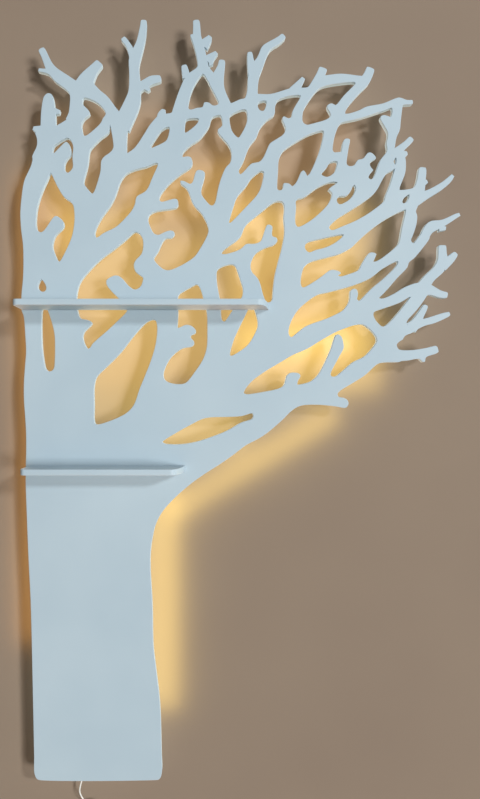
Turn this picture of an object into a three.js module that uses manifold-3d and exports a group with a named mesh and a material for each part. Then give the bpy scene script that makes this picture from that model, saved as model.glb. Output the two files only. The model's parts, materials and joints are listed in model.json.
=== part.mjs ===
// Back-lit tree-shaped wall shelf.
//
// A flat tree cut from one board hangs on two French cleats and rests on round spacer blocks.
// Two shelves are screwed to its face, and four LED light bars on its back light the wall.
// A low-voltage cord leaves the bottom edge, with a rocker switch and a plug-in adaptor on it.
//
// Units are millimetres. The tree is drawn in its own plane coordinates: x to the right and
// z up, from the middle of the trunk's foot. y is 0 on the wall and negative towards the room.
// The finished group is moved so that its origin is the middle of the main wall cleat's back.

import * as THREE from 'three';
import Module from 'manifold-3d';
import { mergeVertices } from 'three/addons/utils/BufferGeometryUtils.js';

const wasm = await Module();
wasm.setup();

// ---------------------------------------------------------------- driving dimensions

const GAP = 0.3; // clearance kept between pieces that touch
const STAND_OFF = 50; // wall to the back of the board
const BOARD = 16; // thickness of the board and of the shelves
const SHELF_DEPTH = 100;
const TRUNK_FOOT = { left: -172.5, right: 175, cornerRadius: 10 };

const BACK = -STAND_OFF; // y of the board's back face
const FRONT = BACK - BOARD; // y of the board's front face
const OUTLINE_STEP = 8; // longest chord when a curve is turned into points
const OUTLINE_TOLERANCE = 0.8; // points that stray less than this from a straight edge are dropped
const OUTLINE_REACH = 48; // longest straight edge made by dropping points
const OPENING_OVERCUT = 1; // how far each cutting shape passes the board's two faces

const UPPER_SHELF = { top: 1324, left: -210, rightBack: 476, rightFront: 451, screws: [-100, 160, 322, 455] };
const LOWER_SHELF = { top: 875.5, left: -190, rightBack: 243, rightFront: 221, screws: [-130, 30, 185] };
const SHELF_CORNER = 13; // radius of a shelf's front left corner, seen from above

// ---------------------------------------------------------------- materials

function finish(color, roughness, metalness = 0) {
  return new THREE.MeshStandardMaterial({ color, roughness, metalness });
}

const look = {
  paint: () => finish(0xb7c9d2, 0.55),
  timber: () => finish(0xc9a878, 0.7),
  steel: () => finish(0xb9b9b6, 0.35, 1),
  aluminium: () => finish(0xc8cacc, 0.4, 1),
  led: () => finish(0xffd089, 0.5),
  diffuser: () => finish(0xf6ead2, 0.45),
  whitePlastic: () => finish(0xe9e8e4, 0.4),
  whiteCord: () => finish(0xefeeea, 0.5),
  greyPlastic: () => finish(0x9a9d9f, 0.5),
};

// ---------------------------------------------------------------- solids and booleans

function toSolid(geometry) {
  const bare = geometry.clone();
  for (const name of Object.keys(bare.attributes)) {
    if (name !== 'position') bare.deleteAttribute(name);
  }
  const merged = mergeVertices(bare, 1e-4);
  const mesh = new wasm.Mesh({
    numProp: 3,
    vertProperties: new Float32Array(merged.attributes.position.array),
    triVerts: new Uint32Array(merged.index.array),
  });
  return new wasm.Manifold(mesh);
}

function toGeometry(solid) {
  const mesh = solid.getMesh();
  const geometry = new THREE.BufferGeometry();
  geometry.setAttribute('position', new THREE.BufferAttribute(new Float32Array(mesh.vertProperties), 3));
  geometry.setIndex(new THREE.BufferAttribute(new Uint32Array(mesh.triVerts), 1));
  geometry.computeVertexNormals();
  return geometry;
}

function join(geometries) {
  return geometries.map(toSolid).reduce((all, one) => all.add(one));
}

function cut(geometry, cutters) {
  return toGeometry(cutters.map(toSolid).reduce((body, cutter) => body.subtract(cutter), toSolid(geometry)));
}

function block(x0, x1, y0, y1, z0, z1) {
  const geometry = new THREE.BoxGeometry(x1 - x0, y1 - y0, z1 - z0);
  return geometry.translate((x0 + x1) / 2, (y0 + y1) / 2, (z0 + z1) / 2);
}

// An outline in the wall's plane, as [x, z] points, pushed from one y towards the room.
function slab(outline, fromY, toY) {
  const shape = new THREE.Shape(outline.map(([x, z]) => new THREE.Vector2(x, z)));
  const geometry = new THREE.ExtrudeGeometry(shape, { depth: fromY - toY, bevelEnabled: false, steps: 1 });
  return geometry.rotateX(Math.PI / 2).translate(0, fromY, 0);
}

// A section in the y-z plane, as [y, z] points, pushed along x.
function bar(section, x0, x1) {
  const shape = new THREE.Shape(section.map(([y, z]) => new THREE.Vector2(y, z)));
  const geometry = new THREE.ExtrudeGeometry(shape, { depth: x1 - x0, bevelEnabled: false, steps: 1 });
  const turn = new THREE.Matrix4().makeBasis(
    new THREE.Vector3(0, 1, 0),
    new THREE.Vector3(0, 0, 1),
    new THREE.Vector3(1, 0, 0),
  );
  return geometry.applyMatrix4(turn).translate(x0, 0, 0);
}

// An outline seen from above, as a Shape in x and y, pushed up from z.
function plate(shape, z, thickness, curveSegments = 6) {
  const options = { depth: thickness, bevelEnabled: false, steps: 1, curveSegments };
  return new THREE.ExtrudeGeometry(shape, options).translate(0, 0, z);
}

// A turned solid about its own y axis, from [radius, y] points.
function turned(profile, sides = 16) {
  return new THREE.LatheGeometry(profile.map(([r, y]) => new THREE.Vector2(r, y)), sides);
}

// A curve through every one of the given places, open or closed, that never overshoots them much.
function smoothCurve(places, closed = false) {
  return new THREE.CatmullRomCurve3(places.map((p) => new THREE.Vector3(...p)), closed, 'centripetal');
}

// A round cable along a smooth curve through the given places.
function cable(points, diameter, steps) {
  const section = new THREE.Shape();
  const sides = 8;
  for (let i = 0; i < sides; i += 1) {
    const angle = (2 * Math.PI * i) / sides;
    const point = [(diameter / 2) * Math.cos(angle), (diameter / 2) * Math.sin(angle)];
    if (i === 0) section.moveTo(...point);
    else section.lineTo(...point);
  }
  return new THREE.ExtrudeGeometry(section, { steps, bevelEnabled: false, extrudePath: smoothCurve(points) });
}

// ---------------------------------------------------------------- smooth outlines

// Drops each point that lies almost on the line between the points kept on either side.
function thinOut(points) {
  const kept = [];
  for (let i = 0; i < points.length; i += 1) {
    const before = kept.length ? kept[kept.length - 1] : points[points.length - 1];
    const after = points[(i + 1) % points.length];
    const here = points[i];
    const [runX, runZ] = [after[0] - before[0], after[1] - before[1]];
    const chord = Math.hypot(runX, runZ);
    const area = runX * (here[1] - before[1]) - runZ * (here[0] - before[0]);
    if (chord > OUTLINE_REACH || Math.abs(area) / chord > OUTLINE_TOLERANCE) kept.push(here);
  }
  return kept;
}

// Points along a curve no further apart than the outline step. stops are the curve's own places.
function evenPoints(curve, stops) {
  const spans = stops.length - 1;
  const points = [];
  for (let i = 0; i < spans; i += 1) {
    const reach = Math.hypot(stops[i + 1][0] - stops[i][0], stops[i + 1][1] - stops[i][1]);
    const pieces = Math.ceil(reach / OUTLINE_STEP);
    for (let k = 0; k < pieces; k += 1) {
      const point = curve.getPoint((i + k / pieces) / spans);
      points.push([point.x, point.y]);
    }
  }
  return points;
}

// A closed smooth curve through the given corner points.
function smoothLoop(corners) {
  const curve = smoothCurve(corners.map(([x, z]) => [x, z, 0]), true);
  return thinOut(evenPoints(curve, [...corners, corners[0]]));
}

// An open smooth run through the given points.
function smoothRun(corners) {
  const curve = smoothCurve(corners.map(([x, z]) => [x, z, 0]));
  return [...evenPoints(curve, corners), corners[corners.length - 1]];
}

// A limb is a stroke through [x, z, width] stations, from its blunt tip down to its root.
function limbOutline(stations) {
  const middle = smoothCurve(stations);
  const length = middle.getLength();
  const pieces = Math.max(2, Math.ceil(length / OUTLINE_STEP));
  const left = [];
  const right = [];
  for (let i = 0; i <= pieces; i += 1) {
    const here = middle.getPointAt(i / pieces);
    const along = middle.getTangentAt(i / pieces);
    const size = Math.hypot(along.x, along.y) * 2;
    const side = [(-along.y * here.z) / size, (along.x * here.z) / size];
    left.push([here.x + side[0], here.y + side[1]]);
    right.push([here.x - side[0], here.y - side[1]]);
  }
  const tip = bluntEnd(left[0], left[1], right[0], right[1]);
  return thinOut([...tip, ...left.slice(1), ...right.slice(1).reverse()]);
}

// The sawn end of a limb: nearly square, with its two corners rounded over.
function bluntEnd(left, leftInner, right, rightInner) {
  const width = Math.hypot(left[0] - right[0], left[1] - right[1]);
  const radius = 0.25 * width;
  const towards = (from, to, distance) => {
    const length = Math.hypot(to[0] - from[0], to[1] - from[1]);
    const share = Math.min(0.9, distance / length);
    return [from[0] + (to[0] - from[0]) * share, from[1] + (to[1] - from[1]) * share];
  };
  const rounded = (corner, first, second) => {
    const curve = new THREE.QuadraticBezierCurve(
      new THREE.Vector2(...towards(corner, first, radius)),
      new THREE.Vector2(...corner),
      new THREE.Vector2(...towards(corner, second, radius)),
    );
    return curve.getPoints(3).map((p) => [p.x, p.y]);
  };
  return [...rounded(right, rightInner, left), ...rounded(left, right, leftInner)];
}

// ---------------------------------------------------------------- the tree's shape

// Trunk and crown without their outer limbs, clockwise from the foot's left corner.
// Runs that cross a limb lie inside it, so that limb and crown grow together.
const TRUNK_LEFT = [
  [-176.5, 18], [-180.7, 224], [-187.4, 502], [-193, 613], [-197.4, 724], [-201, 835], [-199.5, 950],
  [-203, 1020], [-206.5, 1080], [-203, 1150], [-200, 1185], [-203, 1252], [-207, 1293], [-212.5, 1308],
  [-213, 1342], [-210.4, 1381], [-208, 1402], [-208, 1480], [-210.4, 1509], [-214.6, 1541], [-216, 1570],
  [-215, 1601], [-212.5, 1622], [-209, 1644], [-206.7, 1661], [-203, 1673], [-195.4, 1686], [-189, 1703],
  [-183.6, 1718], [-182, 1729], [-183, 1735.5], [-180, 1744], [-175, 1753], [-170.8, 1763], [-169, 1776],
  [-170.8, 1789], [-175, 1800],
];
const CROWN_TOP_LEFT = [
  [-165, 1808], [-155, 1825], [-120, 1825], [-116, 1821], [-100, 1831], [-88, 1838], [-75, 1850],
  [-60, 1850], [-60, 1900], [-45, 1925], [-10, 1908], [18, 1888], [35, 1866], [57, 1856], [75, 1850],
  [95, 1825], [88, 1819], [82.6, 1806], [81.5, 1785], [80.4, 1763], [82.6, 1745], [88, 1749], [103, 1761],
  [110, 1772], [120, 1785], [131, 1802], [141, 1819], [155, 1836], [170, 1851], [185, 1855], [198, 1857],
];
const CROWN_TOP_MIDDLE = [
  [205, 1858], [215, 1880], [225, 1910], [245, 1935], [262, 1955], [292, 1980], [312, 1958], [335, 1925],
  [350, 1893], [367, 1884], [382, 1889], [399, 1896], [420, 1900], [442, 1910], [468, 1909], [487, 1911],
  [510, 1917], [536, 1926], [549, 1925], [572, 1927], [590, 1930], [605, 1940], [634, 1948], [660, 1952],
  [690, 1954], [715, 1951], [735, 1948],
];
const CROWN_TOP_RIGHT = [
  [725, 1928], [706, 1906], [690, 1888], [680, 1868], [687, 1851], [700, 1845], [726, 1852], [752, 1862],
  [777, 1868], [803, 1876], [822, 1884], [835, 1880], [832, 1860], [830, 1835], [824, 1810], [818, 1795],
  [815, 1770], [817, 1757], [838, 1752], [851, 1750],
];
const CROWN_RIGHT = [
  [857, 1727], [857, 1699], [853.5, 1682], [849, 1669], [844, 1658], [840, 1643], [858, 1646], [880, 1650],
  [896, 1648], [908, 1632], [901, 1620], [898.5, 1609], [893, 1602], [889, 1592], [885.6, 1583], [889, 1571],
  [888, 1554], [885, 1541], [879, 1526], [875, 1511], [872, 1505], [874, 1497], [880, 1494], [885.6, 1500],
  [899, 1520], [915, 1530], [924, 1511], [916, 1496], [905, 1481], [894, 1468], [881, 1453], [866, 1440.5],
  [862, 1428], [851, 1417], [841, 1406], [819, 1381], [806.5, 1366], [794, 1353], [783, 1342],
];
const CROWN_LOWER_RIGHT = [
  [800, 1335], [830, 1345], [860, 1358], [890, 1366], [893, 1350], [882, 1328], [865, 1308], [850, 1285],
  [861, 1271.6], [862, 1250], [849, 1226.7], [838.6, 1220], [832, 1211], [840, 1195], [850, 1182],
  [845, 1166], [802, 1162.5], [787, 1161], [779, 1158], [766, 1147.5], [753, 1136], [738, 1122],
  [708, 1104], [684.6, 1090], [674, 1083], [667.5, 1075], [670, 1067], [680, 1065], [691, 1061],
  [698, 1050], [692, 1037], [680, 1036], [665, 1039.5],
];
const TRUNK_RIGHT = [
  [627, 1044], [586, 1044], [569, 1042.7], [556, 1038.4], [543.5, 1031], [530.7, 1019], [509, 998],
  [483.6, 976], [456, 955], [424, 939], [394, 918.7], [367, 897], [328, 871.5], [281, 841], [239, 808],
  [205.7, 777], [178, 744], [161, 710], [151.5, 669], [146, 613], [152, 485], [154.6, 374], [161, 315],
  [172.4, 218], [178.8, 26],
];

// Outer limbs as [x, z, width] stations, each from its tip to its root.
const TOP_LEFT_LIMBS = [
  [[-158, 2037, 18], [-143, 2004, 20], [-130, 1978, 28], [-105, 1955, 34], [-70, 1930, 38], [-58, 1912, 40]],
  [[-166, 1977, 9], [-147, 1974, 14], [-125, 1970, 18]],
  [[6, 1998, 24], [-12, 1978, 28], [-32, 1950, 44], [-48, 1928, 44]],
  [[-58, 1925, 42], [-60, 1890, 40], [-58, 1870, 42], [-60, 1850, 46], [-66, 1832, 50]],
  [[-38, 1937, 44], [-8, 1909, 36], [18, 1889, 32], [33, 1868, 32], [50, 1835, 50]],
  [[-135, 1911, 14], [-137, 1900, 27], [-138, 1885, 34], [-138, 1860, 40], [-138, 1815, 44]],
  [[-105, 1860, 11], [-120, 1862, 18]],
  [[-181, 1815, 12], [-160, 1808, 30]],
];
const TOP_MIDDLE_LIMBS = [
  [[128, 2116, 16], [125, 2085, 20], [118, 2050, 25], [102, 2005, 32], [101, 1975, 28], [103, 1945, 32],
    [103, 1915, 37], [94, 1880, 46], [80, 1850, 48], [65, 1815, 50]],
  [[69, 2067, 14], [83, 2049, 15], [92, 2030, 18], [97, 2010, 20]],
  [[176, 1953, 17], [151, 1949, 24], [128, 1936, 24], [105, 1922, 26]],
  [[144, 1919, 10], [128, 1935, 20]],
  [[274, 2116, 18], [275, 2085, 20], [277, 2060, 26], [285, 2031, 27], [291, 2000, 28], [293, 1978, 34]],
  [[260, 2076, 8], [269, 2058, 12], [281, 2030, 18]],
  [[313, 2071, 13], [305, 2060, 24], [292, 2044, 34]],
  [[331, 2026, 13], [320, 2016, 20], [304, 2002, 32]],
  [[322, 1999, 10], [308, 1997, 20]],
  [[240, 1991, 15], [243, 1975, 17], [247, 1955, 24]],
  [[293, 1978, 34], [262, 1953, 34], [248, 1928, 35], [240, 1905, 36], [234, 1885, 38], [228, 1860, 42]],
  [[184, 1867, 12], [178, 1850, 26], [182, 1835, 40]],
  [[346, 2005, 17], [343, 1985, 21], [334, 1955, 34], [336, 1922, 34], [350, 1893, 30], [360, 1872, 28]],
  [[293, 1980, 34], [312, 1958, 30], [328, 1935, 32]],
];
const TOP_RIGHT_LIMBS = [
  [[423, 2027, 13], [424, 2010, 17], [428, 1990, 24], [433, 1968, 32]],
  [[519, 2073, 16], [500, 2057, 19], [481, 2046, 21], [468, 2036, 24], [455, 2008, 24], [443, 1985, 32],
    [434, 1960, 32], [432, 1940, 29], [430, 1915, 30], [428, 1895, 40]],
  [[573, 1955, 13], [560, 1938, 22], [546, 1918, 30]],
  [[628, 1983, 24], [619, 1958, 26], [605, 1932, 32], [588, 1908, 30]],
  [[605, 1938, 30], [634, 1948, 28], [660, 1952, 27], [690, 1954, 24], [715, 1951, 22], [738, 1947, 26]],
  [[760, 1983, 24], [753, 1965, 24], [742, 1945, 28], [722, 1925, 27], [705, 1905, 26], [690, 1888, 26],
    [676, 1868, 30], [668, 1850, 38]],
  [[877, 1887, 12], [858, 1887, 13], [840, 1888, 24], [822, 1884, 20], [803, 1876, 20], [777, 1868, 23],
    [752, 1862, 26], [726, 1852, 22], [700, 1845, 21], [672, 1838, 34]],
  [[838, 1890, 26], [832, 1860, 27], [830, 1835, 27], [824, 1810, 32], [820, 1795, 26], [816, 1778, 26],
    [815, 1764, 24], [808, 1740, 30]],
];
const RIGHT_LIMBS = [
  [[875, 1787, 16], [857, 1770, 17], [840, 1755, 20], [826, 1744, 24]],
  [[862, 1746, 10], [850, 1742, 22], [834, 1734, 26]],
  [[905, 1706, 20], [903, 1685, 22], [900, 1665, 26], [893, 1640, 34]],
  [[918, 1667, 12], [903, 1661, 20]],
  [[989, 1684, 12], [975, 1668, 16], [955, 1652, 18], [930, 1637, 20], [905, 1625, 26], [885, 1615, 34]],
  [[1008, 1575, 11], [990, 1567, 14], [966, 1553, 18], [946, 1546, 24], [930, 1541, 30], [918, 1529, 27],
    [908, 1512, 23], [893, 1490, 26]],
  [[970, 1536, 11], [950, 1537, 20]],
  [[959, 1489, 22], [959, 1468, 24], [960, 1445, 30], [950, 1423, 30], [930, 1404, 28], [913, 1385, 32],
    [900, 1365, 40]],
  [[998, 1467, 14], [985, 1453, 22], [970, 1440, 26], [958, 1428, 28]],
  [[974, 1349, 16], [955, 1352, 20], [932, 1362, 26], [912, 1368, 36]],
];
const LOWER_RIGHT_LIMBS = [
  [[775, 1325, 34], [800, 1328, 27], [830, 1341, 28], [860, 1356, 34], [890, 1366, 36], [912, 1368, 36]],
  [[906, 1370, 34], [896, 1350, 38], [882, 1328, 34], [865, 1308, 33], [848, 1288, 33], [835, 1268, 42],
    [820, 1250, 50]],
  [[914, 1322, 13], [906, 1306, 16], [897, 1290, 20], [886, 1273, 26], [872, 1258, 36]],
  [[980, 1299, 12], [960, 1291, 17], [935, 1281, 19], [910, 1275, 20], [883, 1264, 26], [858, 1250, 24],
    [830, 1238, 24]],
  [[947, 1200, 20], [925, 1193, 24], [895, 1185, 28], [860, 1182, 29], [825, 1182, 36]],
  [[909, 1164, 9], [903, 1180, 26]],
];

// Openings between the branches, each a closed loop of [x, z] corners.
const LEFT_OPENINGS = {
  underTopLeftFork: [
    [-40, 1899], [-14, 1892], [8, 1877], [22, 1855], [14, 1842], [11, 1834], [0, 1820], [-17, 1806],
    [-37, 1793], [-44, 1812], [-44, 1828], [-37, 1841], [-22, 1855], [-33, 1872], [-41, 1879],
  ],
  leftHook: [
    [-84, 1788], [-72, 1774], [-68.6, 1761], [-71, 1735], [-70, 1705], [-77, 1695], [-84, 1690.5],
    [-91, 1697], [-93, 1710], [-87, 1727], [-76, 1740], [-75.6, 1755], [-79, 1768], [-88.5, 1777],
    [-100, 1767], [-111, 1757], [-124.8, 1744], [-123, 1764], [-112, 1773], [-100, 1780],
  ],
  leftLarge: [
    [-131, 1691], [-126, 1682], [-117, 1661], [-100, 1631], [-91, 1620], [-77, 1611], [-68, 1598],
    [-65, 1575], [-66, 1547], [-70, 1522], [-81, 1490], [-98, 1458], [-107.5, 1443], [-119, 1462],
    [-126, 1487], [-123, 1504], [-117, 1517], [-104, 1529], [-95, 1541], [-96, 1554], [-110, 1568],
    [-119, 1570], [-129, 1560], [-145, 1537], [-152, 1528], [-160, 1525], [-169, 1532], [-172.5, 1554],
    [-168, 1597], [-157, 1633], [-140, 1672],
  ],
  leftTall: [
    [34, 1824], [37, 1808], [42, 1780], [43, 1761], [37, 1750], [17, 1735], [9, 1722], [7, 1695],
    [1, 1672], [-8, 1644], [-15, 1632], [-25, 1643], [-39, 1661], [-37, 1676], [-29, 1704], [-25, 1735],
    [-21, 1755], [-9, 1769], [13, 1790], [30, 1803],
  ],
  leftSweep: [
    [167, 1717], [161, 1698], [150, 1673], [136, 1643], [122, 1632], [108, 1624], [103, 1603], [94, 1585],
    [75, 1563], [49, 1539], [15, 1522], [-4, 1510], [-8, 1522], [2, 1551], [24, 1584], [43, 1612],
    [58, 1652], [66, 1671], [78, 1686], [95, 1696], [137, 1708], [158, 1717],
  ],
  leftDrop: [
    [-158, 1394], [-145, 1377], [-144, 1366], [-149, 1360], [-157, 1360], [-166, 1368], [-167, 1377],
    [-163, 1387],
  ],
  leftSlot: [
    [-147, 1322], [-139, 1305], [-130, 1280], [-122, 1250], [-119.5, 1215], [-120, 1165], [-124, 1143],
    [-136, 1137], [-146, 1146], [-153, 1182], [-156.5, 1230], [-156, 1300], [-153, 1315],
  ],
  leftBehindShelf: [
    [104, 1526], [117, 1520], [125, 1505], [126, 1483], [121, 1464], [106, 1448], [100, 1434],
    [104, 1417], [115, 1407], [125, 1400], [125, 1388], [118, 1373], [104, 1365.5], [90, 1372],
    [69, 1395], [56, 1404], [45, 1404], [32, 1398], [24, 1391], [24, 1381], [30, 1370], [41, 1359],
    [57, 1342], [75, 1325], [82, 1312], [80, 1304], [58, 1282], [34, 1257], [19, 1246], [4, 1232],
    [-15, 1214], [-22, 1203], [-27, 1200], [-38, 1217], [-41.5, 1232], [-38, 1247], [-25, 1261],
    [-16, 1270], [-20, 1277], [-30, 1281], [-46, 1284], [-53, 1293], [-54, 1308], [-58, 1325],
    [-59.6, 1341], [-57, 1360], [-50, 1383], [-38, 1402], [-20, 1422], [5, 1447], [39, 1473],
    [71, 1498], [96, 1521],
  ],
  trunkTop: [
    [150, 1281], [160, 1280], [165, 1262], [163, 1226], [154, 1187], [135, 1135], [116, 1088],
    [107, 1060], [98, 1041], [80, 1022], [40, 1002], [3, 990], [-7, 991], [-10, 1045], [-10, 1095],
    [-4, 1120], [17, 1144], [52, 1176], [85, 1217], [112, 1251], [140, 1277],
  ],
};
const MIDDLE_OPENINGS = {
  middleBehindShelf: [
    [275, 1380], [282, 1375], [291, 1349], [298, 1325], [303, 1305], [305, 1252], [304, 1212],
    [300, 1190], [290, 1166], [272, 1139], [252, 1112], [240, 1103.5], [222, 1102], [200, 1106],
    [186, 1115], [183, 1130], [187, 1147], [203, 1175], [223, 1194], [237, 1202], [262, 1207],
    [268, 1213], [268, 1220], [259, 1231], [259, 1237], [272, 1244], [273, 1251], [265, 1261],
    [256, 1266], [244, 1267], [232, 1261], [222, 1259], [221, 1268], [224, 1300], [224, 1348],
    [233, 1357], [262, 1374],
  ],
  middleDiamond: [
    [372, 1436], [382, 1432], [387, 1420], [392, 1402], [401, 1381], [404.5, 1363], [401, 1345],
    [390, 1328], [374, 1306], [362, 1289], [352, 1276], [345, 1282], [343, 1302], [341, 1335],
    [339, 1350], [333, 1375], [330.5, 1400], [333, 1420], [343, 1428], [357, 1433],
  ],
  middleLeaf: [
    [428, 1325], [437, 1309], [444, 1285], [445.5, 1264], [436, 1240], [418, 1212], [394, 1193],
    [369, 1181], [371, 1200], [385, 1241], [401, 1273], [416, 1303], [422, 1318],
  ],
  lowBough: [
    [180, 940], [208, 960], [259, 989], [298, 1007], [345, 1010], [400, 1013], [431, 1020], [431, 1007],
    [400, 995], [353, 969], [311, 953], [268, 940], [225, 934], [192, 935],
  ],
  topNotchLeft: [
    [198.5, 1818], [197, 1797], [190, 1780], [173, 1770], [146, 1759.5], [161, 1783], [176, 1808],
    [188, 1816],
  ],
  topNotchRight: [
    [246, 1838], [281, 1840], [274, 1825], [263, 1816], [243, 1802], [244, 1820],
  ],
  topTriangle: [
    [292, 1966], [305, 1947], [320, 1919], [334, 1892], [336, 1883], [328, 1878], [320, 1878],
    [313, 1884], [305, 1887], [296, 1886], [291, 1873.5], [283, 1873], [254, 1867], [253, 1885],
    [260, 1909], [266, 1928], [281, 1951],
  ],
  centreTwigs: [
    [341, 1850], [346, 1822], [342, 1817], [335, 1812], [334, 1804], [348, 1786], [366, 1763],
    [372, 1742], [368, 1718], [355, 1703], [346, 1683], [336, 1652], [330, 1620], [321, 1600],
    [312, 1601], [298, 1617], [289, 1630], [289, 1650], [297, 1677], [297, 1692], [287, 1698],
    [276, 1697], [269, 1683], [264, 1665], [257, 1659.5], [241, 1667], [230, 1668], [231, 1660],
    [246, 1648], [253, 1636], [258, 1621], [268, 1600], [285, 1582], [300, 1558], [308, 1532],
    [303, 1512], [287, 1483], [268, 1456], [240, 1437], [205, 1421], [188, 1420], [168, 1434],
    [156, 1452], [165, 1465], [180, 1497], [190, 1508], [206, 1510], [214, 1519], [212, 1526],
    [203, 1530], [190, 1527], [170, 1518], [157, 1521], [147, 1538], [140, 1560], [143, 1572],
    [155, 1581], [185, 1588], [218, 1593], [224, 1600], [220, 1617], [205, 1617], [176, 1610],
    [171, 1617], [177, 1633], [200, 1661], [235, 1690], [258, 1705], [264, 1716], [259, 1733],
    [250, 1736], [236, 1734], [236, 1744], [255, 1765], [282, 1783], [303, 1808], [312, 1825],
    [318, 1844],
  ],
  topCup: [
    [368, 1849], [411, 1866], [416, 1840], [411, 1821], [398, 1797], [391, 1788], [381, 1797],
    [373, 1808], [368, 1832],
  ],
  topPip: [
    [447, 1886], [468.5, 1890.5], [466, 1870], [461, 1863], [452, 1864], [446, 1873],
  ],
  topRibbon: [
    [564, 1905], [538, 1905], [512, 1898], [501, 1892], [494, 1878], [491, 1852], [472, 1838],
    [452, 1815], [441, 1789], [422, 1764], [412, 1736], [398, 1708], [392, 1696], [397, 1686],
    [413, 1703], [430, 1717], [448, 1720.5], [458, 1729], [468, 1750], [480, 1773], [500, 1785],
    [518, 1800], [522.5, 1815], [517, 1832], [513, 1842], [518, 1848], [532, 1842], [538, 1845],
    [542, 1862], [555, 1887],
  ],
  middleLeafHigh: [
    [461, 1694], [461, 1678], [456, 1657], [444, 1630], [418, 1601], [392, 1575], [370, 1552],
    [365, 1551], [374, 1581], [387, 1622], [409, 1648], [428, 1676], [441, 1688], [455, 1696],
  ],
  middleStem: [
    [500, 1611.5], [514, 1609], [519, 1598], [517, 1571], [519, 1545], [520, 1526], [516, 1497],
    [509, 1470], [500, 1435], [492, 1400], [487, 1360], [486, 1340], [480, 1331], [472, 1330],
    [464, 1340], [457, 1365], [446, 1395], [430, 1413], [425, 1430], [429, 1447], [440, 1466],
    [464, 1481], [490, 1490], [500, 1501], [497, 1510], [486, 1514], [485, 1528], [486, 1540],
    [479, 1546], [471, 1545], [466, 1533], [459, 1512], [452, 1499], [437, 1493], [413, 1492],
    [395, 1477], [364, 1466], [346, 1464], [345, 1469], [368, 1490], [396, 1511], [411, 1543],
    [439, 1569], [467, 1590], [480, 1602],
  ],
};
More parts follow.
